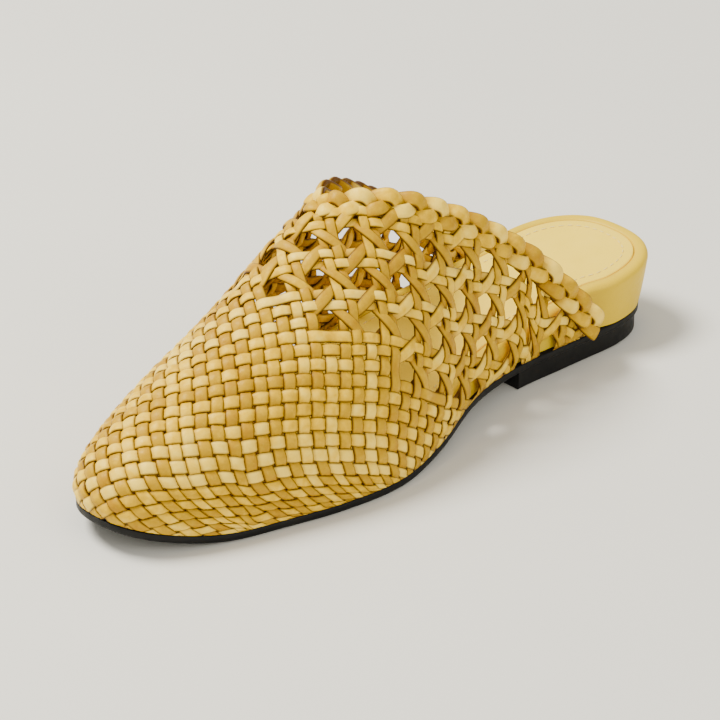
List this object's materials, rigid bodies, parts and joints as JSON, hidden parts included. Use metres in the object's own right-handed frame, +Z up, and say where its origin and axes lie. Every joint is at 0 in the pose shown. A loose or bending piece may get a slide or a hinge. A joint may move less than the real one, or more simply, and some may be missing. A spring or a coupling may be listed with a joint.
{
  "type": "babouche slipper",
  "caption": "Right backless slipper in woven yellow leather, open cane weave over the instep, plaited collar, low leather-covered wedge and thin black rubber sole.",
  "frame": {"origin": "on the ground, under the middle of the shoe's bounding box", "axes": "+X to the medial side, +Y from toe to heel, +Z up"},
  "size_m": [0.0868, 0.2558, 0.0913],
  "materials": {
    "black_rubber": "semi-matt moulded rubber",
    "footbed_leather": "smooth pale yellow leather",
    "sock_leather": "smooth pale leather",
    "woven_leather": "satin yellow leather strips",
    "plaited_leather": "satin yellow leather strips"
  },
  "bodies": {
    "root": {"outsole": "black_rubber", "heel_lift": "black_rubber", "footbed_wedge": "footbed_leather", "insole": "sock_leather", "upper": "woven_leather", "collar_braid": "plaited_leather"}
  },
  "joints": []
}
